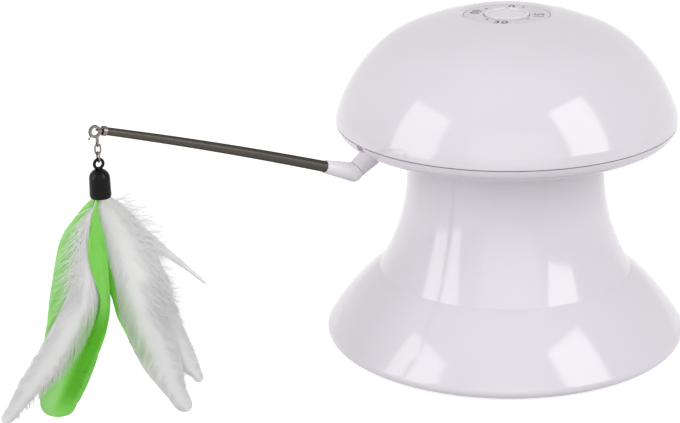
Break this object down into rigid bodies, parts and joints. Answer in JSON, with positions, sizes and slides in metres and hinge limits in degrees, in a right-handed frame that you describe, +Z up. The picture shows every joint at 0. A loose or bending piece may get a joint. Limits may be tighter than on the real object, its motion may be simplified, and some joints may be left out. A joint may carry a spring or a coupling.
{
  "type": "automatic cat laser toy",
  "caption": "Motorised cat toy: a mushroom head with a dial turns on a trumpet base, sweeping a spring wand with a clasped feather charm, and a laser shines from its rim.",
  "frame": {"origin": "centre of the plane that the feet stand on, on the axis that the head turns about", "axes": "+Z up along the head's axis; +X to the right of the picture's view, level; the wand leaves the head towards -X and -Y, 35 degrees off -X"},
  "size_m": [0.2819, 0.2023, 0.1476],
  "materials": {
    "shell_lilac": "moulded ABS, high gloss, lilac white",
    "dial_lilac": "moulded ABS, satin gloss",
    "knob_lilac": "moulded ABS, gloss",
    "elbow_white": "moulded ABS, satin",
    "inner_plastic": "moulded ABS, plain",
    "bush_acetal": "acetal, as moulded",
    "gear_acetal": "acetal, as moulded",
    "foot_rubber": "soft rubber",
    "screw_steel": "zinc plated",
    "axle_steel": "ground",
    "contact_steel": "nickel plated",
    "motor_steel": "drawn can",
    "cell_sleeve": "printed sleeve over a can",
    "ring_brass": "turned",
    "brush_metal": "sprung strip",
    "board_laminate": "glass-fibre board, solder mask",
    "component_black": "moulded",
    "laser_brass": "turned",
    "lens_clear": "clear",
    "wand_steel": "close-wound spring steel, dark",
    "nickel": "nickel plated",
    "cap_rubber": "soft black moulding",
    "glue": "set glue",
    "feather_white": "feather vane",
    "feather_green": "dyed feather vane"
  },
  "bodies": {
    "base": {"base_shell": "shell_lilac", "bottom_plate": "inner_plastic", "rubber_foot_1": "foot_rubber", "rubber_foot_2": "foot_rubber", "rubber_foot_3": "foot_rubber", "rubber_foot_4": "foot_rubber", "base_screws": "screw_steel", "aa_cell_1": "cell_sleeve", "aa_cell_2": "cell_sleeve", "aa_cell_3": "cell_sleeve", "contact_springs": "contact_steel", "contact_plates": "contact_steel", "spindle_bushing": "bush_acetal", "gear_plate": "inner_plastic", "gear_plate_screws": "screw_steel", "drive_motor": "motor_steel", "motor_screws": "screw_steel", "compound_axle": "axle_steel", "brush_contacts": "brush_metal", "brush_block": "component_black"},
    "door": {"battery_door": "inner_plastic"},
    "head": {"head_pan": "shell_lilac", "dome_cover": "shell_lilac", "head_screws": "screw_steel", "dial_plate": "dial_lilac", "mode_switch": "component_black", "control_board": "board_laminate", "board_components": "component_black", "board_screws": "screw_steel", "laser_module": "laser_brass", "laser_lens": "lens_clear", "laser_window": "lens_clear", "laser_holder": "inner_plastic", "spindle_gear": "gear_acetal", "spindle_clip": "axle_steel", "slip_ring_drum": "component_black", "slip_rings": "ring_brass"},
    "compound": {"compound_gear": "gear_acetal"},
    "pinion": {"motor_pinion": "gear_acetal", "motor_shaft": "axle_steel"},
    "dial": {"dial_knob": "knob_lilac"},
    "arm": {"arm_elbow": "elbow_white", "wand_rod": "wand_steel", "wand_tip": "nickel"},
    "clasp": {"clasp_body": "nickel"},
    "lever": {"clasp_lever": "nickel"},
    "upper_link": {"chain_link_upper": "nickel"},
    "lower_link": {"chain_link_lower": "nickel"},
    "charm": {"feather_cap": "cap_rubber", "glue_plug": "glue", "green_feather_centre": "feather_green", "white_feather_left": "feather_white", "green_feather_outer": "feather_green", "white_feather_right": "feather_white", "white_feather_back": "feather_white", "white_feather_spike": "feather_white"}
  },
  "joints": [
    {"name": "head_spin", "type": "hinge", "parent": "base", "child": "head", "pos_m": [0, 0, 0.0892], "axis": [0, 0, 1], "continuous": true},
    {"name": "compound_spin", "type": "hinge", "parent": "base", "child": "compound", "pos_m": [-0.00389, 0.02206, 0.06], "axis": [0, 0, 1], "continuous": true},
    {"name": "motor_spin", "type": "hinge", "parent": "base", "child": "pinion", "pos_m": [0.01014, 0.01396, 0.06], "axis": [0, 0, 1], "continuous": true},
    {"name": "door_hinge", "type": "hinge", "parent": "base", "child": "door", "pos_m": [0, -0.0292, 0.0025], "axis": [-1, 0, 0], "range_deg": [0, 90]},
    {"name": "dial_turn", "type": "hinge", "parent": "head", "child": "dial", "pos_m": [0, 0, 0.1465], "axis": [0, 0, -1], "range_deg": [0, 270]},
    {"name": "arm_swivel", "type": "hinge", "parent": "head", "child": "arm", "pos_m": [-0.0625, -0.04376, 0.09065], "axis": [-0.6791, -0.4755, -0.5592], "range_deg": [-12, 12]},
    {"name": "clasp_swing", "type": "hinge", "parent": "arm", "child": "clasp", "pos_m": [-0.15857, -0.11103, 0.12825], "axis": [-0.5736, 0.8192, 0], "range_deg": [-8, 40]},
    {"name": "clasp_trigger", "type": "hinge", "parent": "clasp", "child": "lever", "pos_m": [-0.16048, -0.11237, 0.12638], "axis": [-0.5736, 0.8192, 0], "range_deg": [0, 15], "stiffness_Nm_per_rad": 0.00002, "springref_deg": -17.19},
    {"name": "upper_link_swing", "type": "hinge", "parent": "clasp", "child": "upper_link", "pos_m": [-0.15857, -0.11103, 0.12157], "axis": [-0.5736, 0.8192, 0], "range_deg": [-10, 30]},
    {"name": "lower_link_swing", "type": "hinge", "parent": "upper_link", "child": "lower_link", "pos_m": [-0.15857, -0.11103, 0.11837], "axis": [-0.8192, -0.5736, 0], "range_deg": [-30, 30]},
    {"name": "charm_swing", "type": "hinge", "parent": "lower_link", "child": "charm", "pos_m": [-0.15857, -0.11103, 0.11517], "axis": [-0.5736, 0.8192, 0], "range_deg": [-8, 35]}
  ],
  "couplings": [
    {"joint": "compound_spin", "follows": "head_spin", "ratio": -3},
    {"joint": "motor_spin", "follows": "head_spin", "ratio": 10.5}
  ]
}
